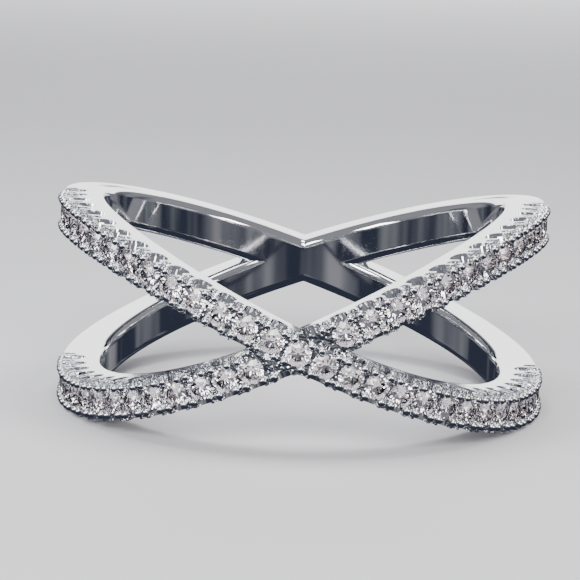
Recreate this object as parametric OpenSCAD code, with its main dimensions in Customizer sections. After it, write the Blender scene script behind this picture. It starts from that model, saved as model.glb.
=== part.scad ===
// Crossover ring: two crossing bands cast as one piece of silver, with a row of round
// brilliant stones set along the front half of each band.
// The ring lies on its side. The finger hole runs along Z, the front crossing faces -Y,
// and the origin is at the middle of the footprint, on the surface the ring rests on.
// All sizes are in millimetres.

/* [Finger hole] */
// Inner diameter of the ring
inner_d = 17.3; // [15.7:0.1:20.0]
// Thickness of the metal between the finger hole and the outer face
wall = 1.75; // [1.65:0.05:2.2]

/* [Bands] */
// Width of each crossing band
band_w = 1.6; // [1.55:0.05:1.9]
// Distance between the centre lines of the two bands at each side of the ring
side_spacing = 7.5; // [6.9:0.1:8.1]
// Length over which a band bends level before it reaches the side of the ring
shoulder_run = 1.5; // [1.2:0.1:2.2]
// Depth of the flats on the level edges, which the ring rests on
rest_flat = 0.05; // [0.03:0.01:0.1]

/* [Stones] */
// Girdle diameter of each stone
stone_d = 1.04; // [0.98:0.02:1.08]
// Space between the girdles of neighbouring stones
stone_gap = 0.14; // [0.12:0.01:0.18]
// Distance from the middle of the crossing to the first stone of the row that stops there
row_start = 2.05; // [2.0:0.05:2.3]
// Diameter of the flat table on top of a stone
table_d = 0.58; // [0.48:0.02:0.64]
// Height of the crown above the girdle
crown_h = 0.15; // [0.12:0.01:0.18]
// How far the middle of the crown swells past a straight slope
crown_swell = 0.02; // [0.01:0.005:0.03]
// Thickness of the girdle
girdle_t = 0.03; // [0.02:0.01:0.05]
// Depth of the pavilion below the girdle
pavilion_h = 0.44; // [0.4:0.01:0.5]
// How far the top of the girdle lies below the outer face
girdle_sink = 0.03; // [0.02:0.01:0.05]
// Space between a stone and its seat
seat_clear = 0.02; // [0.015:0.005:0.03]

/* [Prongs] */
// Diameter of the bead on each prong
bead_d = 0.38; // [0.34:0.01:0.4]
// How far the centre of a bead stands above the outer face
bead_lift = 0.03; // [0.02:0.01:0.06]
// Plain metal between a bead and the side edge of the band
bead_margin = 0.16; // [0.14:0.01:0.17]

/* [U cuts] */
// Width of the U cut beside each stone
cut_w = 0.66; // [0.6:0.02:0.7]
// Depth of the U cut from the outer face
cut_depth = 0.9; // [0.7:0.05:1.1]
// How far the U cut reaches into the band from its side edge
cut_reach = 0.38; // [0.36:0.01:0.42]

/* [Hidden] */
$fn = 96;

inner_r = inner_d / 2;
outer_r = inner_r + wall;
half_w = band_w / 2;
half_spacing = side_spacing / 2;
// Height of the middle of the ring above the surface that it rests on
mid_z = half_spacing + half_w - rest_flat;
// Slope of the straight part of a band, seen from the front
cross_angle = atan(half_spacing / (outer_r - shoulder_run));
// Radius of the centre line where a band bends level
shoulder_r = shoulder_run / tan(cross_angle / 2);
// Distance from the middle at which the bend begins
bend_x = outer_r - shoulder_r * sin(cross_angle);
bend_steps = 6;
// Distance along a band between neighbouring stones
pitch = stone_d + stone_gap;
// Overshoot of a cutting shape past the face that it opens
past = 0.5;
// Overshoot of a U cut past the side edge, short so that it clears the other band
edge_past = 0.2;
// Where the edges of the two bands meet, measured along one band from the middle of the crossing
near_notch = half_w * tan(cross_angle);
far_notch = half_w / tan(cross_angle);
// Distance of a bead from the centre line of its band
bead_across = half_w - bead_margin - bead_d / 2;
stone_sides = 16;

// Angle that a length covers on the outer face
function turn(length) = length / outer_r * 180 / PI;

// Height of a band's centre line at distance x from the middle of the ring, seen from the front
function line_z(x) =
    x < bend_x
    ? x * tan(cross_angle)
    : half_spacing - shoulder_r + sqrt(pow(shoulder_r, 2) - pow(outer_r - x, 2));

// Slope of that centre line
function line_slope(x) =
    x < bend_x
    ? tan(cross_angle)
    : (outer_r - x) / sqrt(pow(shoulder_r, 2) - pow(outer_r - x, 2));

// Angle between a band and the level, on the outer face at angle a from the front
function band_tilt(a) = atan(line_slope(outer_r * sin(a)) * cos(a));

// Angle reached by going the distance step along the band from angle a, by the midpoint rule
function next_angle(a, step) = a + turn(step) * cos(band_tilt(a + turn(step) / 2));

// Angles a pitch apart on one half of a band, from angle a to the side of the ring
function places(a) =
    a > 90
    ? []
    : concat([a], places(next_angle(a, pitch)));

// The falling row has a stone in the middle of the crossing. The rising row's first place, inside
// the crossing, has a U cut and an upper bead but no stone.
FALLING_START = 0;
RISING_START = row_start - pitch;
FALLING = places(next_angle(0, FALLING_START));
RISING = places(next_angle(0, RISING_START));

// True where an edge of the rising band's right half stands free beside the place at distance s
// from the middle of the crossing; side is 1 for the upper edge, -1 for the lower
function edge_is_free(s, side) =
    side > 0
    ? s > near_notch + cut_w / 2
    : s > far_notch + edge_past + cut_w / 2;

// Puts its children on the outer face, on the centre line of the rising band's right half, at
// angle a from the front. There X runs along the band and Z points out of the metal.
module on_band(a) {
    translate([0, 0, mid_z + line_z(outer_r * sin(a))])
        rotate([0, 0, a])
            translate([0, -outer_r, 0])
                rotate([0, -band_tilt(a), 0])
                    rotate([90, 0, 0])
                        children();
}

// Turns the ring half round about the line through both crossings
module half_turn() {
    translate([0, 0, 2 * mid_z])
        rotate([0, 180, 0])
            children();
}

// Swaps the upper and the lower half of the ring, and so the rising and the falling band
module upside_down() {
    translate([0, 0, 2 * mid_z])
        mirror([0, 0, 1])
            children();
}

// Point on the bend where the centre line has the slope angle a, seen from the front, moved
// sideways by off
function bend_point(a, off) =
    [outer_r - (shoulder_r + off) * sin(a), half_spacing - shoulder_r + (shoulder_r + off) * cos(a)];

// Edge of the rising band from the start of its bend to past the side of the ring
function edge(off) = concat(
    [for (i = [0 : bend_steps]) bend_point(cross_angle * (1 - i / bend_steps), off)],
    [[outer_r + past, half_spacing + off]]
);

function reversed(list) = [for (i = [len(list) - 1 : -1 : 0]) list[i]];

// The rising band's outline seen from the front, run through the whole ring to the back
module long_outline() {
    upper = edge(half_w);
    lower = reversed(edge(-half_w));
    translate([0, outer_r + past, mid_z])
        rotate([90, 0, 0])
            linear_extrude(height = 2 * (outer_r + past))
                polygon(concat(upper, lower, -upper, -lower));
}

// The tube that both bands are cut from
module tube() {
    difference() {
        cylinder(h = 2 * mid_z, r = outer_r);
        translate([0, 0, -past])
            cylinder(h = 2 * mid_z + 2 * past, r = inner_r);
    }
}

// Right half of both bands before any stone is set
module plain_half() {
    intersection() {
        tube();
        union() {
            long_outline();
            upside_down() long_outline();
        }
        translate([0, -outer_r - past, -past])
            cube([outer_r + past, 2 * (outer_r + past), 2 * (mid_z + past)]);
    }
}

// U cut in an edge of the band beside a stone
module u_cut(side) {
    top_y = side > 0 ? half_w + edge_past : cut_reach - half_w;
    translate([0, top_y, 0])
        rotate([90, 0, 0])
            linear_extrude(height = cut_reach + edge_past) {
                translate([0, cut_w / 2 - cut_depth])
                    circle(d = cut_w);
                translate([-cut_w / 2, cut_w / 2 - cut_depth])
                    square([cut_w, cut_depth - cut_w / 2 + past]);
            }
}

// Seat of a stone: a drilled hole for its girdle and crown over a cone for its pavilion
module seat() {
    girdle_r = stone_d / 2 + seat_clear;
    rotate_extrude()
        polygon([
            [0, past],
            [girdle_r, past],
            [girdle_r, -girdle_sink - girdle_t - seat_clear],
            [0, -girdle_sink - girdle_t - pavilion_h - 2 * seat_clear]
        ]);
}

// Bead of one prong, in the gap between two stones
module bead(side) {
    translate([0, side * bead_across, bead_lift])
        sphere(d = bead_d);
}

// U cuts along both edges of the rising band's right half, the first place being start from the
// middle of the crossing
module u_cuts(row, start) {
    for (i = [0 : len(row) - 1], side = [-1, 1])
        if (edge_is_free(start + i * pitch, side))
            on_band(row[i]) u_cut(side);
}

// Seats of one row, from place number first to the side of the ring
module seats(row, first) {
    for (i = [first : len(row) - 1])
        on_band(row[i]) seat();
}

// Beads of one row, past each of its places. Before place number first only the upper ones stand,
// because the other row's beads are in the place of the lower ones.
module beads(row, first) {
    for (i = [0 : len(row) - 1], side = [-1, 1])
        if (i >= first || side > 0)
            on_band(next_angle(row[i], pitch / 2)) bead(side);
}

// Cuts and raises one row's settings in the rising band's right half of its children
module with_row(row, start, first) {
    difference() {
        children();
        u_cuts(row, start);
        seats(row, first);
    }
    beads(row, first);
}

// Right half of the ring, with the falling row set upside down as if it were a rising one
module set_half() {
    with_row(RISING, RISING_START, 1)
        upside_down()
            with_row(FALLING, FALLING_START, 0)
                upside_down()
                    plain_half();
}

module ring_body() {
    color("gainsboro") {
        set_half();
        half_turn() set_half();
    }
}

// Round brilliant stone: table, star and kite facets, girdle and pavilion
module stone() {
    // Points on a level circle, count of them, the first turned by turn steps
    function ring_points(count, r, z, turn = 0) =
        [for (i = [0 : count - 1])
            let (a = (i + turn) * 360 / count)
            [r * cos(a), r * sin(a), z]];
    n = stone_sides / 2;
    mid_r = (table_d + stone_d) / 4 + crown_swell;
    points = concat(
        ring_points(n, table_d / 2, crown_h - girdle_sink),
        ring_points(n, mid_r, crown_h / 2 - girdle_sink, 0.5),
        ring_points(2 * n, stone_d / 2, -girdle_sink),
        ring_points(2 * n, stone_d / 2, -girdle_sink - girdle_t),
        [[0, 0, -girdle_sink - girdle_t - pavilion_h]]
    );
    crown = [for (i = [0 : n - 1])
        let (
            t0 = i, t1 = (i + 1) % n,
            m0 = n + i, m1 = n + (i + 1) % n,
            g0 = 2 * n + 2 * i, g1 = g0 + 1, g2 = 2 * n + (2 * i + 2) % (2 * n)
        )
        each [[t0, t1, m0], [t1, m1, m0], [m0, m1, g2], [m0, g1, g0], [m0, g2, g1]]];
    girdle = [for (i = [0 : 2 * n - 1])
        let (g0 = 2 * n + i, g1 = 2 * n + (i + 1) % (2 * n))
        [g0, g1, g1 + 2 * n, g0 + 2 * n]];
    pavilion = [for (i = [0 : 2 * n - 1])
        [4 * n + i, 4 * n + (i + 1) % (2 * n), 6 * n]];
    table = [[for (i = [n - 1 : -1 : 0]) i]];
    polyhedron(points = points, faces = concat(table, crown, girdle, pavilion));
}

// One row of stones on both halves of the rising band, from place number first. A stone in the
// middle of the crossing belongs to both halves and is placed once.
module stone_row(row, first) {
    for (i = [first : len(row) - 1]) {
        on_band(row[i]) stone();
        if (row[i] > 0)
            half_turn() on_band(row[i]) stone();
    }
}

module stones_falling() {
    color("lightcyan") upside_down() stone_row(FALLING, 0);
}

module stones_rising() {
    color("lightcyan") stone_row(RISING, 1);
}

ring_body();
stones_falling();
stones_rising();
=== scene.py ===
import math

import bmesh
import bpy
from mathutils import Matrix, Quaternion, Vector


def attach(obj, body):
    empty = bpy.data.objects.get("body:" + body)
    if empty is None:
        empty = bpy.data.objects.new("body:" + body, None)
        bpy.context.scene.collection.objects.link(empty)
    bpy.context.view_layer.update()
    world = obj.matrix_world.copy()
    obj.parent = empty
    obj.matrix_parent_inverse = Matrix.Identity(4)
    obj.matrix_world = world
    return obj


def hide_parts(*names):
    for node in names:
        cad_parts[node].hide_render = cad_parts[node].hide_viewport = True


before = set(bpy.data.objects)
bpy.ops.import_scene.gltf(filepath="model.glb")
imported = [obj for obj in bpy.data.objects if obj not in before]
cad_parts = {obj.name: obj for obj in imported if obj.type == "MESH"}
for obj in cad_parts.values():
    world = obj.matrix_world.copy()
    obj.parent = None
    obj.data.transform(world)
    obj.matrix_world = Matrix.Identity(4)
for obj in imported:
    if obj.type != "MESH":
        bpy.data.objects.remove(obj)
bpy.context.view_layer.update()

# Studio
# The ring lies on a pale matt table and is seen from the front, a little from above. The camera's
# distance, lens and tilt are those that give the ring's own circles their shape in the picture.
MM = 0.001
PICTURE_PX = 580
SENSOR_MM = 36.0
CAMERA_DISTANCE = 104 * MM
CAMERA_AZIMUTH = math.radians(0.4)
CAMERA_ELEVATION = math.radians(11.33)
CAMERA_ROLL = math.radians(1.6)
PX_PER_MM = 22.85
RING_RIGHT_PX = 11.8
RING_BELOW_PX = 7.0
MID_Z = 4.5 * MM
RING_CENTRE = Vector((0, 0, MID_Z))
LIGHTS_AIM = Vector((0, 0, 4 * MM))

# The ring's middle lies a few pixels right of the picture's middle and below it.
back = Vector((
    math.sin(CAMERA_AZIMUTH) * math.cos(CAMERA_ELEVATION),
    -math.cos(CAMERA_AZIMUTH) * math.cos(CAMERA_ELEVATION),
    math.sin(CAMERA_ELEVATION),
))
right = Vector((math.cos(CAMERA_AZIMUTH), math.sin(CAMERA_AZIMUTH), 0))
up = back.cross(right)
aim = RING_CENTRE + (up * RING_BELOW_PX - right * RING_RIGHT_PX) / PX_PER_MM * MM
place = RING_CENTRE + back * CAMERA_DISTANCE
turn = (aim - place).to_track_quat("-Z", "Y")
camera_data = bpy.data.cameras.new("camera")
camera_data.sensor_width = SENSOR_MM
camera_data.lens = PX_PER_MM * CAMERA_DISTANCE / MM / PICTURE_PX * SENSOR_MM
camera_data.clip_start = 10 * MM
camera = bpy.data.objects.new("camera", camera_data)
camera.rotation_mode = "QUATERNION"
camera.location = place
camera.rotation_quaternion = turn @ Quaternion((0, 0, 1), CAMERA_ROLL)
bpy.context.scene.collection.objects.link(camera)
bpy.context.scene.camera = camera


def linear(hex_colour):
    """Linear RGBA of an sRGB hex colour such as "f2f2f4"."""
    channels = [int(hex_colour[i:i + 2], 16) / 255 for i in (0, 2, 4)]
    return tuple(c / 12.92 if c <= 0.04045 else ((c + 0.055) / 1.055) ** 2.4 for c in channels) + (1.0,)


def add_node(tree, kind, settings=None, inputs=None):
    """Adds a node with its settings, and for each input a value or the output it is linked to."""
    node = tree.nodes.new(kind)
    for name, value in (settings or {}).items():
        setattr(node, name, value)
    for name, value in (inputs or {}).items():
        if isinstance(value, bpy.types.NodeSocket):
            tree.links.new(value, node.inputs[name])
        else:
            node.inputs[name].default_value = value
    return node


def new_material(name):
    """An empty node material and its tree."""
    material = bpy.data.materials.new(name)
    material.use_nodes = True
    material.node_tree.nodes.clear()
    return material, material.node_tree


def finish_piece(bm, name, material, sharp_from=None):
    """Turns a bmesh into a piece of the scene. It is shaded flat unless sharp_from gives the angle
    from which its edges stay sharp."""
    mesh = bpy.data.meshes.new(name)
    bm.to_mesh(mesh)
    bm.free()
    mesh.materials.append(material)
    piece = bpy.data.objects.new(name, mesh)
    bpy.context.scene.collection.objects.link(piece)
    if sharp_from is not None:
        mesh.polygons.foreach_set("use_smooth", [True] * len(mesh.polygons))
        mesh.set_sharp_from_angle(angle=sharp_from)
    return piece


def soft_box(name, size, place, power, colour):
    """A rectangular light, with its size and place in millimetres, turned towards the ring."""
    data = bpy.data.lights.new(name, "AREA")
    data.shape = "RECTANGLE"
    data.size = size[0] * MM
    data.size_y = size[1] * MM
    data.energy = power
    data.color = linear(colour)[:3]
    lamp = bpy.data.objects.new(name, data)
    lamp.location = Vector(place) * MM
    lamp.rotation_mode = "QUATERNION"
    lamp.rotation_quaternion = (LIGHTS_AIM - lamp.location).to_track_quat("-Z", "Y")
    bpy.context.scene.collection.objects.link(lamp)


# Matt card has no sheen of its own, only a faint mottle that keeps it from looking like a void.
MOTTLE = 30 * MM
table_card, tree = new_material("matt_card")
coordinates = add_node(tree, "ShaderNodeTexCoord")
mottle = add_node(tree, "ShaderNodeTexNoise", inputs={
    "Vector": coordinates.outputs["Object"], "Scale": 1 / MOTTLE, "Detail": 3.0})
shade = add_node(tree, "ShaderNodeMix", {"data_type": "RGBA"}, {
    "Factor": mottle.outputs["Fac"], "A": linear("e2e2e6"), "B": linear("e9e9ec")})
card_shader = add_node(tree, "ShaderNodeBsdfPrincipled", inputs={
    "Base Color": shade.outputs["Result"], "Roughness": 0.85})
add_node(tree, "ShaderNodeOutputMaterial", inputs={"Surface": card_shader.outputs["BSDF"]})

TABLE_SIDE = 1200 * MM
bm = bmesh.new()
bmesh.ops.create_grid(bm, x_segments=1, y_segments=1, size=TABLE_SIDE / 2)
table_top = finish_piece(bm, "table_top", table_card)
# The metal mirrors the dark surroundings of the studio instead of the pale table.
table_top.visible_glossy = False

# The box behind the ring whitens the upper side edges of the bands, and the others light the stones.
soft_box("back_softbox", (300, 170), (0, 260, 76), 0.4, "ffffff")
soft_box("top_softbox", (80, 50), (0, 0, 110), 0.1, "ffffff")
soft_box("front_softbox", (120, 60), (-20, -150, 120), 0.25, "ffffff")
soft_box("left_softbox", (50, 60), (-130, -90, 50), 0.1, "ffffff")
soft_box("right_softbox", (40, 60), (130, -90, 40), 0.08, "fff0e6")

# The studio around the table is dark low down and grey above. Soft patches shift the line between
# the two up and down, so that the metal mirrors bands of light and dark.
world = bpy.data.worlds.new("studio")
world.use_nodes = True
world.node_tree.nodes.clear()
tree = world.node_tree
direction = add_node(tree, "ShaderNodeTexCoord")
heights = add_node(tree, "ShaderNodeSeparateXYZ", inputs={"Vector": direction.outputs["Generated"]})
patches = add_node(tree, "ShaderNodeTexNoise", inputs={
    "Vector": direction.outputs["Generated"], "Scale": 3.0, "Detail": 2.0})
shifts = add_node(tree, "ShaderNodeMapRange", inputs={
    "Value": patches.outputs["Fac"], "From Min": 0.3, "From Max": 0.7, "To Min": -0.3, "To Max": 0.4})
shifted = add_node(tree, "ShaderNodeMath", {"operation": "ADD"}, {
    0: heights.outputs["Z"], 1: shifts.outputs["Result"]})
above = add_node(tree, "ShaderNodeMapRange", inputs={
    "Value": shifted.outputs["Value"], "From Min": -0.25, "From Max": 0.2})
walls = add_node(tree, "ShaderNodeMix", {"data_type": "RGBA"}, {
    "Factor": above.outputs["Result"], "A": linear("454b5e"), "B": linear("c6c8ce")})
sky = add_node(tree, "ShaderNodeBackground", inputs={
    "Color": walls.outputs["Result"], "Strength": 0.5})
add_node(tree, "ShaderNodeOutputWorld", inputs={"Surface": sky.outputs["Background"]})
bpy.context.scene.world = world

# Bands
# Both bands are one casting in silver, plated with rhodium and polished to a mirror. Each band is
# a loop of nearly rectangular section, softened inside for the finger, and they cross twice.
INNER_R = 8.65 * MM
OUTER_R = 10.4 * MM
MID_R = (INNER_R + OUTER_R) / 2
HALF_SPACING = 3.66 * MM
THIRD_WAVE = 0.013
FRONT_BIAS = 0.066
LEAN = 0.26
FRONT_WIDTH = 1.54 * MM
SIDE_WIDTH = 1.77 * MM
BACK_WIDTH = 1.88 * MM
INNER_NARROWING = 0.05
OUTER_DROP = 0.2 * MM
INNER_DROP = 0.27 * MM
INNER_ROUND = 0.3 * MM
OUTER_ROUND = 0.04 * MM
ROUND_STEPS = 6
EDGE_LOOP = 0.03 * MM
LOOP_STEPS = 360
RISING = 1
FALLING = -1


def frontness(angle):
    """1 at the front crossing, falling smoothly to 0 at the sides and staying there."""
    return max(math.cos(angle), 0) ** 2


def outwardness(radius):
    """0 on the face towards the finger, 1 on the outer face."""
    return (radius - INNER_R) / (OUTER_R - INNER_R)


def rise(angle):
    """Height of the rising band's centre line above the ring's middle, at an angle from the front:
    a sine wave, a little flatter at the sides, and steeper at the front than behind."""
    wave = math.sin(angle) + THIRD_WAVE * math.sin(3 * angle) + FRONT_BIAS * math.sin(2 * angle)
    return HALF_SPACING * wave / (1 - THIRD_WAVE)


def height(band, angle, radius):
    """Height of a band's middle above the table, at an angle from the front and a radius. The
    section leans between the crossings and the sides, and the front crossing lies a little low."""
    lean = LEAN * (radius - MID_R) * math.sin(angle) * abs(math.cos(angle))
    drop = INNER_DROP + (OUTER_DROP - INNER_DROP) * outwardness(radius)
    return MID_Z + band * (rise(angle) + lean) - drop * frontness(angle)


def climb(band, angle):
    """Slope of a band's centre line on the outer face, from two heights close to each other."""
    step = math.radians(0.05)
    before, after = (height(band, angle + a, OUTER_R) for a in (-step, step))
    return (after - before) / (2 * step * OUTER_R)


def width(angle, radius=OUTER_R):
    """Width of a band, square to its centre line. At the front it narrows towards the finger."""
    front, back = frontness(angle), frontness(math.pi - angle)
    outer = SIDE_WIDTH + (FRONT_WIDTH - SIDE_WIDTH) * front + (BACK_WIDTH - SIDE_WIDTH) * back
    return outer * (1 - INNER_NARROWING * front * (1 - outwardness(radius)))


def loop(band):
    """One closed band: a rounded section spun round the finger hole, then raised along its wave. An
    edge loop next to each rounding keeps the shading of the flat faces flat."""
    bm = bmesh.new()
    half = FRONT_WIDTH / 2
    inner_z = half - INNER_ROUND - EDGE_LOOP
    outer_z = half - OUTER_ROUND - EDGE_LOOP
    inner_r = INNER_R + INNER_ROUND + EDGE_LOOP
    outer_r = OUTER_R - OUTER_ROUND - EDGE_LOOP
    bm.faces.new([bm.verts.new((0, -r, z)) for r, z in (
        (INNER_R, -half), (inner_r, -half), (outer_r, -half), (OUTER_R, -half), (OUTER_R, -outer_z),
        (OUTER_R, outer_z), (OUTER_R, half), (outer_r, half), (inner_r, half), (INNER_R, half),
        (INNER_R, inner_z), (INNER_R, -inner_z))])
    for radius, at in ((INNER_ROUND, INNER_R), (OUTER_ROUND, OUTER_R)):
        corners = [v for v in bm.verts if math.isclose(-v.co.y, at, rel_tol=1e-6)
                   and math.isclose(abs(v.co.z), half, rel_tol=1e-6)]
        bmesh.ops.bevel(bm, geom=corners, offset=radius, offset_type="OFFSET", affect="VERTICES",
                        segments=ROUND_STEPS, profile=0.5, material=-1)
    bmesh.ops.delete(bm, geom=bm.faces[:], context="FACES_ONLY")
    bmesh.ops.spin(bm, geom=bm.verts[:] + bm.edges[:], cent=(0, 0, 0), axis=(0, 0, 1),
                   angle=2 * math.pi, steps=LOOP_STEPS, use_merge=True, use_duplicate=False)
    for v in bm.verts:
        angle = math.atan2(v.co.x, -v.co.y)
        radius = math.hypot(v.co.x, v.co.y)
        stretch = width(angle, radius) / FRONT_WIDTH * math.hypot(1, climb(band, angle))
        z = height(band, angle, radius) + v.co.z * stretch
        # A narrow level flat where a band touches the table, and its like on top.
        v.co.z = min(max(z, 0), 2 * MID_Z)
    bmesh.ops.recalc_face_normals(bm, faces=bm.faces[:])
    return bm


def as_mesh(bm, name):
    """A mesh made from a bmesh, for a tool or for a pattern to repeat."""
    mesh = bpy.data.meshes.new(name)
    bm.to_mesh(mesh)
    bm.free()
    return mesh


def combine(piece, tool, operation):
    """Adds a tool's solid to a piece, or cuts it out of it."""
    tool_object = bpy.data.objects.new("tool", as_mesh(tool, "tool"))
    bpy.context.scene.collection.objects.link(tool_object)
    modifier = piece.modifiers.new("combine", "BOOLEAN")
    modifier.operation = operation
    modifier.solver = "MANIFOLD"
    modifier.object = tool_object
    evaluated = piece.evaluated_get(bpy.context.evaluated_depsgraph_get())
    mesh = bpy.data.meshes.new_from_object(evaluated)
    piece.modifiers.remove(modifier)
    piece.data = mesh
    bpy.data.objects.remove(tool_object)


# Rhodium plate is a cool white metal. Polishing leaves hairlines too fine to show one by one, so
# they are drawn coarse, at a few hundredths of a millimetre, and only soften the reflections. The
# graver leaves the outer face between the stones, and the mouths of the cuts, uneven and glinting.
HAIRLINE = 0.06 * MM
CLOUD = 1.5 * MM
GRAVER_MARK = 0.16 * MM
GRAVED_DEPTH = 0.35 * MM
GRAVED_ABOVE = 0.03 * MM
GRAVED_FADE = 0.3 * MM
UPRIGHT_BELOW = 0.7
rhodium, tree = new_material("polished_rhodium_plate")
coordinates = add_node(tree, "ShaderNodeTexCoord")
hairlines = add_node(tree, "ShaderNodeTexNoise", inputs={
    "Vector": coordinates.outputs["Object"], "Scale": 1 / HAIRLINE, "Detail": 4.0})
clouds = add_node(tree, "ShaderNodeTexNoise", inputs={
    "Vector": coordinates.outputs["Object"], "Scale": 1 / CLOUD, "Detail": 3.0})
polish = add_node(tree, "ShaderNodeMapRange", inputs={
    "Value": clouds.outputs["Fac"], "To Min": 0.03, "To Max": 0.09})
tone = add_node(tree, "ShaderNodeMix", {"data_type": "RGBA"}, {
    "Factor": clouds.outputs["Fac"], "A": linear("e9eaee"), "B": linear("f4f4f6")})
# The graver works the front half from the outer face to a little depth, and leaves the side edges
# alone, which face up or down.
off_axis = add_node(tree, "ShaderNodeVectorMath", {"operation": "MULTIPLY"}, {
    0: coordinates.outputs["Object"], 1: (1, 1, 0)})
from_axis = add_node(tree, "ShaderNodeVectorMath", {"operation": "LENGTH"}, {
    0: off_axis.outputs["Vector"]})
worked_depth = add_node(tree, "ShaderNodeMath", {"operation": "COMPARE"}, {
    0: from_axis.outputs["Value"], 1: OUTER_R - (GRAVED_DEPTH - GRAVED_ABOVE) / 2,
    2: (GRAVED_DEPTH + GRAVED_ABOVE) / 2})
surface = add_node(tree, "ShaderNodeNewGeometry")
facing = add_node(tree, "ShaderNodeSeparateXYZ", inputs={"Vector": surface.outputs["True Normal"]})
steepness = add_node(tree, "ShaderNodeMath", {"operation": "ABSOLUTE"}, {0: facing.outputs["Z"]})
upright = add_node(tree, "ShaderNodeMath", {"operation": "LESS_THAN"}, {
    0: steepness.outputs["Value"], 1: UPRIGHT_BELOW})
cut_by_graver = add_node(tree, "ShaderNodeMath", {"operation": "MULTIPLY"}, {
    0: worked_depth.outputs["Value"], 1: upright.outputs["Value"]})
axes = add_node(tree, "ShaderNodeSeparateXYZ", inputs={"Vector": coordinates.outputs["Object"]})
on_front_half = add_node(tree, "ShaderNodeMapRange", inputs={
    "Value": axes.outputs["Y"], "From Min": GRAVED_FADE, "From Max": -GRAVED_FADE})
graved = add_node(tree, "ShaderNodeMath", {"operation": "MULTIPLY"}, {
    0: cut_by_graver.outputs["Value"], 1: on_front_half.outputs["Result"]})
marks = add_node(tree, "ShaderNodeTexNoise", inputs={
    "Vector": coordinates.outputs["Object"], "Scale": 1 / GRAVER_MARK, "Detail": 1.0})
gravings = add_node(tree, "ShaderNodeBump", inputs={
    "Height": marks.outputs["Fac"], "Strength": graved.outputs["Value"], "Distance": 0.1 * MM})
scratches = add_node(tree, "ShaderNodeBump", inputs={
    "Height": hairlines.outputs["Fac"], "Strength": 0.02, "Distance": 0.01 * MM,
    "Normal": gravings.outputs["Normal"]})
metal = add_node(tree, "ShaderNodeBsdfPrincipled", inputs={
    "Base Color": tone.outputs["Result"], "Metallic": 1.0,
    "Roughness": polish.outputs["Result"], "Normal": scratches.outputs["Normal"]})
add_node(tree, "ShaderNodeOutputMaterial", inputs={"Surface": metal.outputs["BSDF"]})

casting = finish_piece(loop(RISING), "band_casting", rhodium)
combine(casting, loop(FALLING), "UNION")

# Settings
# Each stone sits in a drilled seat. Beside it, both edges of the band are opened by a U cut, which
# is shallower in the lower edge, and a narrower cut splits the post left at every gap in two.
STONE_D = 1.08 * MM
PITCH = 1.18 * MM
RISING_START = 2.05 * MM
SEAT_CLEAR = 0.02 * MM
GIRDLE_SINK = 0.03 * MM
GIRDLE_T = 0.03 * MM
CROWN_H = 0.15 * MM
PAVILION_H = 0.44 * MM
CUT_W = 0.7 * MM
CUT_DEPTH = 0.75 * MM
SIDE_DEEPENING = 0.35
LOWER_SHARE = 0.55
CUT_REACH = 0.3 * MM
SPLIT_W = 0.28 * MM
SPLIT_DEPTH = 0.42 * MM
SPLIT_REACH = 0.3 * MM
SLOT_REACH = 0.22 * MM
PAST = 0.3 * MM
CUT_STEPS = 8
CUT_ROUNDNESS = 0.49
SEAT_SIDES = 24
SEAT_TIP = 0.06
SHARP_FROM = math.radians(30)


def on_band(band, angle):
    """A place on the outer face: X along the band, Y across it, Z out of the metal."""
    outward = Vector((math.sin(angle), -math.cos(angle), 0))
    along = Vector((math.cos(angle), math.sin(angle), climb(band, angle))).normalized()
    place = Matrix((along, outward.cross(along), outward)).transposed().to_4x4()
    place.translation = outward * OUTER_R
    place.translation.z = height(band, angle, OUTER_R)
    return place


def next_angle(angle, distance):
    """Angle reached by going a distance along a band, by the midpoint rule."""
    turn = distance / OUTER_R
    return angle + turn / math.hypot(1, climb(RISING, angle + turn / 2))


def repeated(pattern, places):
    """A bmesh with a copy of the pattern mesh at each place."""
    bm = bmesh.new()
    for place in places:
        known = len(bm.verts)
        bm.from_mesh(pattern)
        bm.verts.ensure_lookup_table()
        bmesh.ops.transform(bm, matrix=place, verts=bm.verts[known:])
    return bm


def u_cutter(wide, depth, reach, past=PAST):
    """A block with a round bottom, for a U cut that goes from reach inside an edge to past outside
    it. The block stands out of the outer face."""
    bm = bmesh.new()
    tall = depth + PAST
    deep = reach + past
    block = Matrix.LocRotScale((0, deep / 2, tall / 2 - depth), None, (wide, deep, tall))
    bmesh.ops.create_cube(bm, size=1, matrix=block)
    bottom = [e for e in bm.edges if all(math.isclose(v.co.z, -depth, rel_tol=1e-5) for v in e.verts)
              and math.isclose(e.verts[0].co.x, e.verts[1].co.x, abs_tol=1e-8)]
    bmesh.ops.bevel(bm, geom=bottom, offset=wide * CUT_ROUNDNESS, affect="EDGES", segments=CUT_STEPS,
                    profile=0.5, material=-1)
    return as_mesh(bm, "u_cutter")


def seat_cutter():
    """A drill for a stone's girdle and crown with a cone below for its pavilion."""
    bm = bmesh.new()
    radius = STONE_D / 2 + SEAT_CLEAR
    floor = -GIRDLE_SINK - GIRDLE_T - SEAT_CLEAR
    drill = Matrix.Translation((0, 0, (floor + PAST) / 2))
    bmesh.ops.create_cone(bm, cap_ends=True, segments=SEAT_SIDES, radius1=radius, radius2=radius,
                          depth=PAST - floor, matrix=drill)
    bottom = [f for f in bm.faces if f.normal.z < -0.9]
    tip = bmesh.ops.extrude_face_region(bm, geom=bottom)
    tip_verts = [g for g in tip["geom"] if isinstance(g, bmesh.types.BMVert)]
    bmesh.ops.delete(bm, geom=bottom, context="FACES")
    bmesh.ops.scale(bm, vec=(SEAT_TIP, SEAT_TIP, 1), verts=tip_verts)
    bmesh.ops.translate(bm, vec=(0, 0, -PAVILION_H - SEAT_CLEAR), verts=tip_verts)
    bmesh.ops.recalc_face_normals(bm, faces=bm.faces[:])
    return as_mesh(bm, "seat_cutter")


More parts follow.
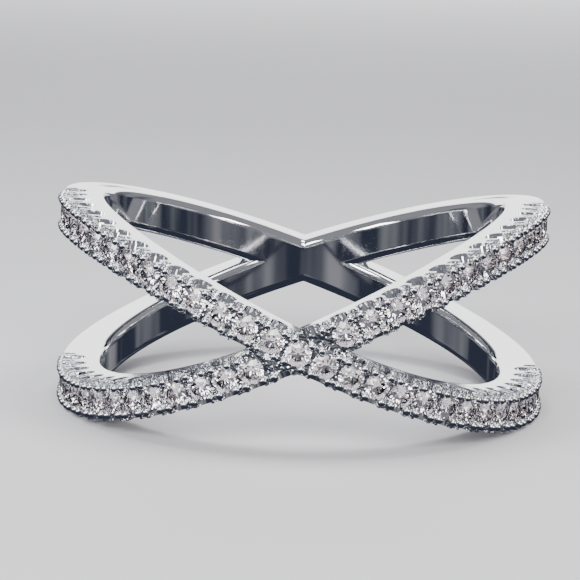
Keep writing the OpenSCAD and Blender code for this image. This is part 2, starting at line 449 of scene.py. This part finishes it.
def half_row(start):
    """Distances along a band and angles of places a pitch apart, from a start near the middle of
    the crossing to the side of the ring."""
    found = []
    distance, angle = start, next_angle(0, start)
    while angle < math.pi / 2:
        found.append((distance, angle))
        distance, angle = distance + PITCH, next_angle(angle, PITCH)
    return found


def both_ends(places):
    """The same places on both halves of a band; the one in the middle of the crossing comes once."""
    return [end * angle for _, angle in places for end in ((1, -1) if angle else (1,))]


def half_way(places):
    """The places in the middle of the gaps, one past each place given."""
    return [(distance + PITCH / 2, next_angle(angle, PITCH / 2)) for distance, angle in places]


# The falling row has a stone in the middle of the crossing. The rising row's first place, inside
# the crossing, is cut but has no stone.
cut_rows = {FALLING: half_row(0), RISING: half_row(RISING_START - PITCH)}
stone_rows = {FALLING: cut_rows[FALLING], RISING: cut_rows[RISING][1:]}
# Distances along a band at which its side edges come clear of the other band: at the notch above
# or below the crossing, and at the notch beside it.
near_notch = FRONT_WIDTH / 2 * abs(climb(RISING, 0))
far_notch = FRONT_WIDTH / 2 / abs(climb(RISING, 0))


def at_edge(band, angle, edge, reach):
    """A place for a cutter, reach inside an edge of a band, with Y pointing out over the edge. It
    cuts deeper at the sides of the ring, and less deep in a lower edge."""
    inner_end = Matrix.Translation((0, width(angle) / 2 - reach, 0))
    turned = Matrix.Rotation(math.pi if edge < 0 else 0, 4, "Z")
    share = (1 + SIDE_DEEPENING * math.sin(angle) ** 2) * (LOWER_SHARE if edge < 0 else 1)
    return on_band(band, angle) @ turned @ inner_end @ Matrix.Diagonal((1, 1, share, 1))


def edge_places(rows, wide, reach):
    """Places for cuts of a width and reach on both side edges, where they are clear of the other
    band."""
    found = []
    for band, run in rows.items():
        for distance, angle in run:
            for end in (1, -1):
                for edge, notch in ((band * end, near_notch), (-band * end, far_notch)):
                    if distance > notch + wide / 2:
                        found.append(at_edge(band, end * angle, edge, reach))
    return found


gap_rows = {band: half_way(run) for band, run in cut_rows.items()}
for rows, wide, depth, reach in ((cut_rows, CUT_W, CUT_DEPTH, CUT_REACH),
                                 (gap_rows, SPLIT_W, SPLIT_DEPTH, SPLIT_REACH)):
    cuts = repeated(u_cutter(wide, depth, reach), edge_places(rows, wide, reach))
    combine(casting, cuts, "DIFFERENCE")

# Beside the falling row's stones next to the middle one, the cuts are slots between the two bands.
slot_angle = cut_rows[FALLING][1][1]
slots = [at_edge(FALLING, end * slot_angle, end, SLOT_REACH) for end in (1, -1)]
combine(casting, repeated(u_cutter(CUT_W, SPLIT_DEPTH, SLOT_REACH, 0), slots), "DIFFERENCE")

seat_places = {band: [on_band(band, angle) for angle in both_ends(row)]
               for band, row in stone_rows.items()}
for places in seat_places.values():
    combine(casting, repeated(seat_cutter(), places), "DIFFERENCE")

casting.data.polygons.foreach_set("use_smooth", [True] * len(casting.data.polygons))
casting.data.set_sharp_from_angle(angle=SHARP_FROM)
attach(casting, "root")
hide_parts("ring_body")

# Beads
# The tip of every post is split and rolled into two round beads with a hollow beading tool, one
# over each neighbouring stone.
BEAD_D = 0.35 * MM
BEAD_APART = 0.45 * MM
BEAD_SPREAD = 0.66
BEAD_LIFT = 0.07 * MM

bm = bmesh.new()
bmesh.ops.create_icosphere(bm, subdivisions=2, radius=BEAD_D / 2)
bead = as_mesh(bm, "bead")
bead_places = []
for band, gaps in gap_rows.items():
    for gap, (_, angle) in enumerate(gaps):
        # At the rising row's first gap, one edge of the band is still inside the crossing, so only
        # the other has beads.
        sides = (1,) if band == RISING and gap == 0 else (1, -1)
        for end in (1, -1):
            for side in sides:
                for step in (-1, 1):
                    across = width(angle) / 2 * BEAD_SPREAD
                    offset = (step * BEAD_APART / 2, side * band * end * across, BEAD_LIFT)
                    bead_places.append(on_band(band, end * angle) @ Matrix.Translation(offset))
beads = finish_piece(repeated(bead, bead_places), "prong_beads", rhodium, sharp_from=math.pi)
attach(beads, "root")

# Stones
# Small round brilliants of cubic zirconia, machine cut, all alike. Each has a table, eight star
# and eight kite facets, a thin girdle and a pavilion that comes to a point.
TABLE_D = 0.58 * MM
STAR_REACH = 0.5
LOWER_REACH = 0.25
GIRDLE_SIDES = 16
FACETS = 8
FLAT_WITHIN = math.radians(0.5)


def brilliant():
    """A brilliant with its girdle's top edge just below Z 0, as the hull of its facets' corners."""
    bm = bmesh.new()
    girdle_r = STONE_D / 2
    table_r = TABLE_D / 2
    top = -GIRDLE_SINK
    bottom = top - GIRDLE_T
    half_turn = math.pi / FACETS
    star_r = (table_r + (girdle_r - table_r) * STAR_REACH) / math.cos(half_turn)
    star_z = top + CROWN_H * (girdle_r - star_r * math.cos(half_turn)) / (girdle_r - table_r)
    lower_r = girdle_r * LOWER_REACH
    lower_z = bottom - PAVILION_H * (1 - lower_r * math.cos(half_turn) / girdle_r)
    for sides, radius, z, turn in (
            (FACETS, table_r, top + CROWN_H, 0), (FACETS, star_r, star_z, half_turn),
            (GIRDLE_SIDES, girdle_r, top, 0), (GIRDLE_SIDES, girdle_r, bottom, 0),
            (FACETS, lower_r, lower_z, half_turn)):
        place = Matrix.Translation((0, 0, z)) @ Matrix.Rotation(turn, 4, "Z")
        bmesh.ops.create_circle(bm, segments=sides, radius=radius, matrix=place)
    bm.verts.new((0, 0, bottom - PAVILION_H))
    bmesh.ops.convex_hull(bm, input=bm.verts[:])
    bmesh.ops.dissolve_limit(bm, angle_limit=FLAT_WITHIN, verts=bm.verts[:], edges=bm.edges[:])
    bmesh.ops.recalc_face_normals(bm, faces=bm.faces[:])
    return as_mesh(bm, "brilliant")


# Cut cubic zirconia is clear, with polished facets that bend light strongly, so that it glints white
# and dark. Real stones split the light into colours, and a faint warm and cool tint stands for that.
TINT_PATCH = 0.5 * MM
zirconia, tree = new_material("cut_cubic_zirconia")
coordinates = add_node(tree, "ShaderNodeTexCoord")
tints = add_node(tree, "ShaderNodeTexNoise", inputs={
    "Vector": coordinates.outputs["Object"], "Scale": 1 / TINT_PATCH, "Detail": 1.0})
tint = add_node(tree, "ShaderNodeMix", {"data_type": "RGBA"}, {
    "Factor": tints.outputs["Fac"], "A": linear("ffeeea"), "B": linear("f2f5ff")})
crystal = add_node(tree, "ShaderNodeBsdfPrincipled", inputs={
    "Base Color": tint.outputs["Result"], "Roughness": 0.0, "IOR": 2.15, "Transmission Weight": 1.0})
add_node(tree, "ShaderNodeOutputMaterial", inputs={"Surface": crystal.outputs["BSDF"]})

pattern = brilliant()
for band, name, node in ((FALLING, "falling_brilliants", "stones_falling"),
                         (RISING, "rising_brilliants", "stones_rising")):
    row_of_stones = finish_piece(repeated(pattern, seat_places[band]), name, zirconia)
    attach(row_of_stones, "root")
    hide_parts(node)
